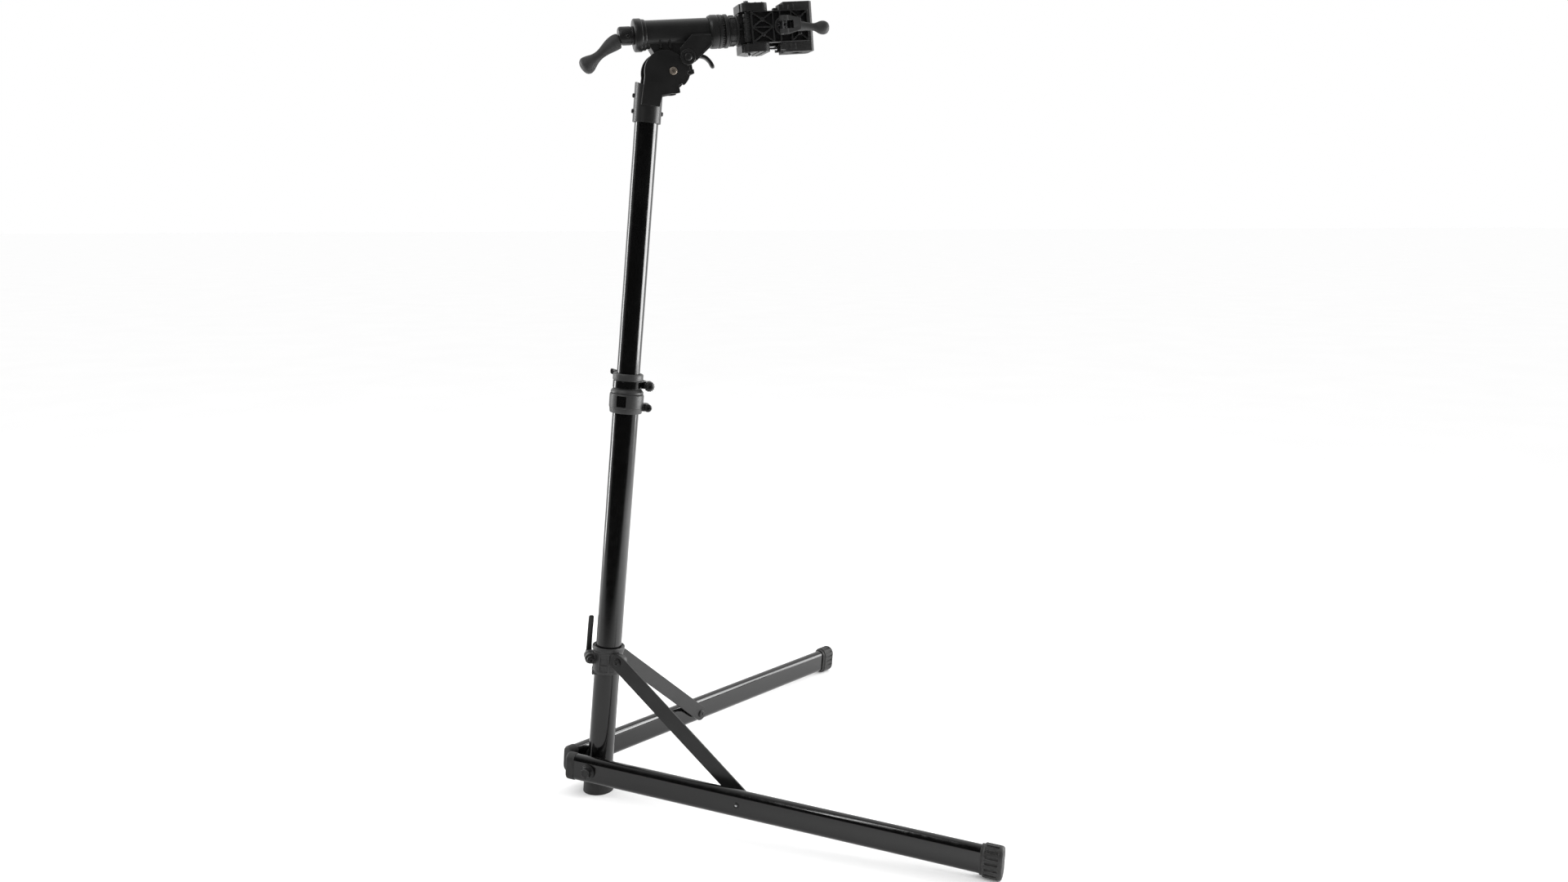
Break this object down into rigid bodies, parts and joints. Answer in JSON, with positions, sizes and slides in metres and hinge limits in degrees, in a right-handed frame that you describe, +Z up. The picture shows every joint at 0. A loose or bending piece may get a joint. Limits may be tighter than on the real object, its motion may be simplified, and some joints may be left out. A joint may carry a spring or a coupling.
{
  "type": "bike repair stand",
  "caption": "Folding repair stand: leaning telescopic mast on two folding legs, tilting head and rotating clamp with rubber-lined jaws.",
  "frame": {"origin": "on the floor at the middle of the mast foot's flat underside", "axes": "+X forward, the way the legs and the clamp reach; +Y left; +Z up"},
  "size_m": [0.6439, 0.9814, 1.3697],
  "materials": {
    "black_tube": "gloss",
    "rubber": "matte",
    "satin_black": "satin",
    "grey_plastic": "satin",
    "black_plastic": "satin",
    "grip": "matte",
    "black_steel": "satin",
    "zinc_steel": "bright",
    "bronze": "satin"
  },
  "bodies": {
    "mast": {"lower_tube": "black_tube", "column_foot": "rubber", "base_bracket": "satin_black", "right_leg_bolt": "black_steel", "left_leg_bolt": "black_steel", "tube_collar": "grey_plastic", "tube_collar_screw": "black_steel", "clamp_sleeve": "grey_plastic", "clamp_band": "satin_black", "band_skewer": "zinc_steel", "band_nut": "black_plastic"},
    "right_leg": {"right_leg_tube": "black_tube", "right_leg_inner_cap": "rubber", "right_leg_foot_cap": "rubber", "right_leg_pivot_sleeve": "zinc_steel", "right_brace_rivet": "black_steel"},
    "left_leg": {"left_leg_tube": "black_tube", "left_leg_inner_cap": "rubber", "left_leg_foot_cap": "rubber", "left_leg_pivot_sleeve": "zinc_steel", "left_brace_rivet": "black_steel"},
    "right_brace": {"right_brace": "satin_black", "right_brace_top_rivet": "black_steel"},
    "left_brace": {"left_brace": "satin_black", "left_brace_top_rivet": "black_steel"},
    "collar": {"slide_collar": "grey_plastic", "collar_skewer": "zinc_steel", "collar_nut": "black_steel"},
    "collar_lever": {"collar_lever": "black_plastic"},
    "band_lever": {"band_lever": "black_plastic"},
    "upper_mast": {"upper_tube": "black_tube", "upper_tube_bush": "grey_plastic", "head_yoke": "satin_black", "sleeve_screw_rear_upper": "black_steel", "sleeve_screw_rear_lower": "black_steel", "sleeve_screw_front": "black_steel", "tilt_bolt": "bronze", "tilt_nut": "zinc_steel"},
    "head": {"head_body": "satin_black", "tilt_bush": "zinc_steel", "latch_pin": "zinc_steel", "latch_spring": "zinc_steel", "rear_bearing_cap": "grey_plastic", "index_ring": "grey_plastic"},
    "latch": {"latch_lever": "black_plastic"},
    "crank": {"crank_hub": "satin_black", "crank_handle": "grip", "crank_set_screw": "black_steel", "draw_bolt": "zinc_steel"},
    "clamp": {"turntable": "black_plastic", "fixed_jaw": "black_plastic", "fixed_pad": "rubber", "clamp_rod": "zinc_steel", "jaw_hinge_pin": "zinc_steel", "jaw_tie_rod": "zinc_steel"},
    "adjuster": {"adjuster_knob": "black_plastic"},
    "moving_jaw": {"moving_jaw": "black_plastic", "moving_pad": "rubber", "jaw_barrel": "zinc_steel"},
    "jaw_lever": {"jaw_lever": "grip"}
  },
  "joints": [
    {"name": "leg_fold", "type": "hinge", "parent": "mast", "child": "right_leg", "pos_m": [-0.01567, -0.03875, 0.05561], "axis": [-0.5954, -0.8015, 0.056], "range_deg": [0, 84]},
    {"name": "left_leg_fold", "type": "hinge", "parent": "mast", "child": "left_leg", "pos_m": [-0.01567, 0.03875, 0.05561], "axis": [0.5954, -0.8015, -0.056], "range_deg": [0, 84.5]},
    {"name": "right_brace_swing", "type": "hinge", "parent": "right_leg", "child": "right_brace", "pos_m": [0.22453, -0.19215, 0.04365], "axis": [-0.5954, -0.8015, 0.056], "range_deg": [-140, 0.5]},
    {"name": "left_brace_swing", "type": "hinge", "parent": "left_leg", "child": "left_brace", "pos_m": [0.22453, 0.19215, 0.04365], "axis": [0.5954, -0.8015, -0.056], "range_deg": [-140, 0.5]},
    {"name": "collar_slide", "type": "slide", "parent": "mast", "child": "collar", "axis": [0.0936, 0, 0.9956], "range_m": [0, 0.4072]},
    {"name": "collar_lever_open", "type": "hinge", "parent": "collar", "child": "collar_lever", "pos_m": [-0.0086, 0.018, 0.2504], "axis": [-0.9956, 0, 0.0936], "range_deg": [0, 100]},
    {"name": "height_slide", "type": "slide", "parent": "mast", "child": "upper_mast", "axis": [0.0936, 0, 0.9956], "range_m": [-0.4, 0.05]},
    {"name": "band_lever_open", "type": "hinge", "parent": "mast", "child": "band_lever", "pos_m": [0.10373, 0.012, 0.72949], "axis": [-0.0936, 0, -0.9956], "range_deg": [0, 110]},
    {"name": "head_tilt", "type": "hinge", "parent": "upper_mast", "child": "head", "pos_m": [0.15218, 0, 1.25035], "axis": [0, 1, 0], "range_deg": [0, 55]},
    {"name": "latch_pull", "type": "hinge", "parent": "head", "child": "latch", "pos_m": [0.17605, 0, 1.27254], "axis": [0, -1, 0], "range_deg": [0, 16]},
    {"name": "crank_turn", "type": "hinge", "parent": "head", "child": "crank", "pos_m": [0.07771, 0, 1.3058], "axis": [0.9971, 0, 0.0767], "range_deg": [-180, 180]},
    {"name": "clamp_turn", "type": "hinge", "parent": "head", "child": "clamp", "pos_m": [0.24721, 0, 1.31884], "axis": [0.9971, 0, 0.0767], "continuous": true},
    {"name": "adjuster_turn", "type": "hinge", "parent": "clamp", "child": "adjuster", "pos_m": [0.33395, 0.045, 1.32551], "axis": [0, 1, 0], "continuous": true},
    {"name": "jaw_open", "type": "hinge", "parent": "clamp", "child": "moving_jaw", "pos_m": [0.27662, -0.027, 1.3211], "axis": [0.0767, 0, -0.9971], "range_deg": [0, 16]},
    {"name": "jaw_lever_open", "type": "hinge", "parent": "moving_jaw", "child": "jaw_lever", "pos_m": [0.33395, -0.0505, 1.32551], "axis": [0.0767, 0, -0.9971], "range_deg": [0, 150]}
  ],
  "couplings": [
    {"joint": "left_leg_fold", "follows": "leg_fold", "ratio": 1},
    {"joint": "right_brace_swing", "follows": "leg_fold", "ratio": -1.6591},
    {"joint": "left_brace_swing", "follows": "leg_fold", "ratio": -1.6591},
    {"joint": "collar_slide", "follows": "leg_fold", "m_per_rad": 0.27676}
  ]
}
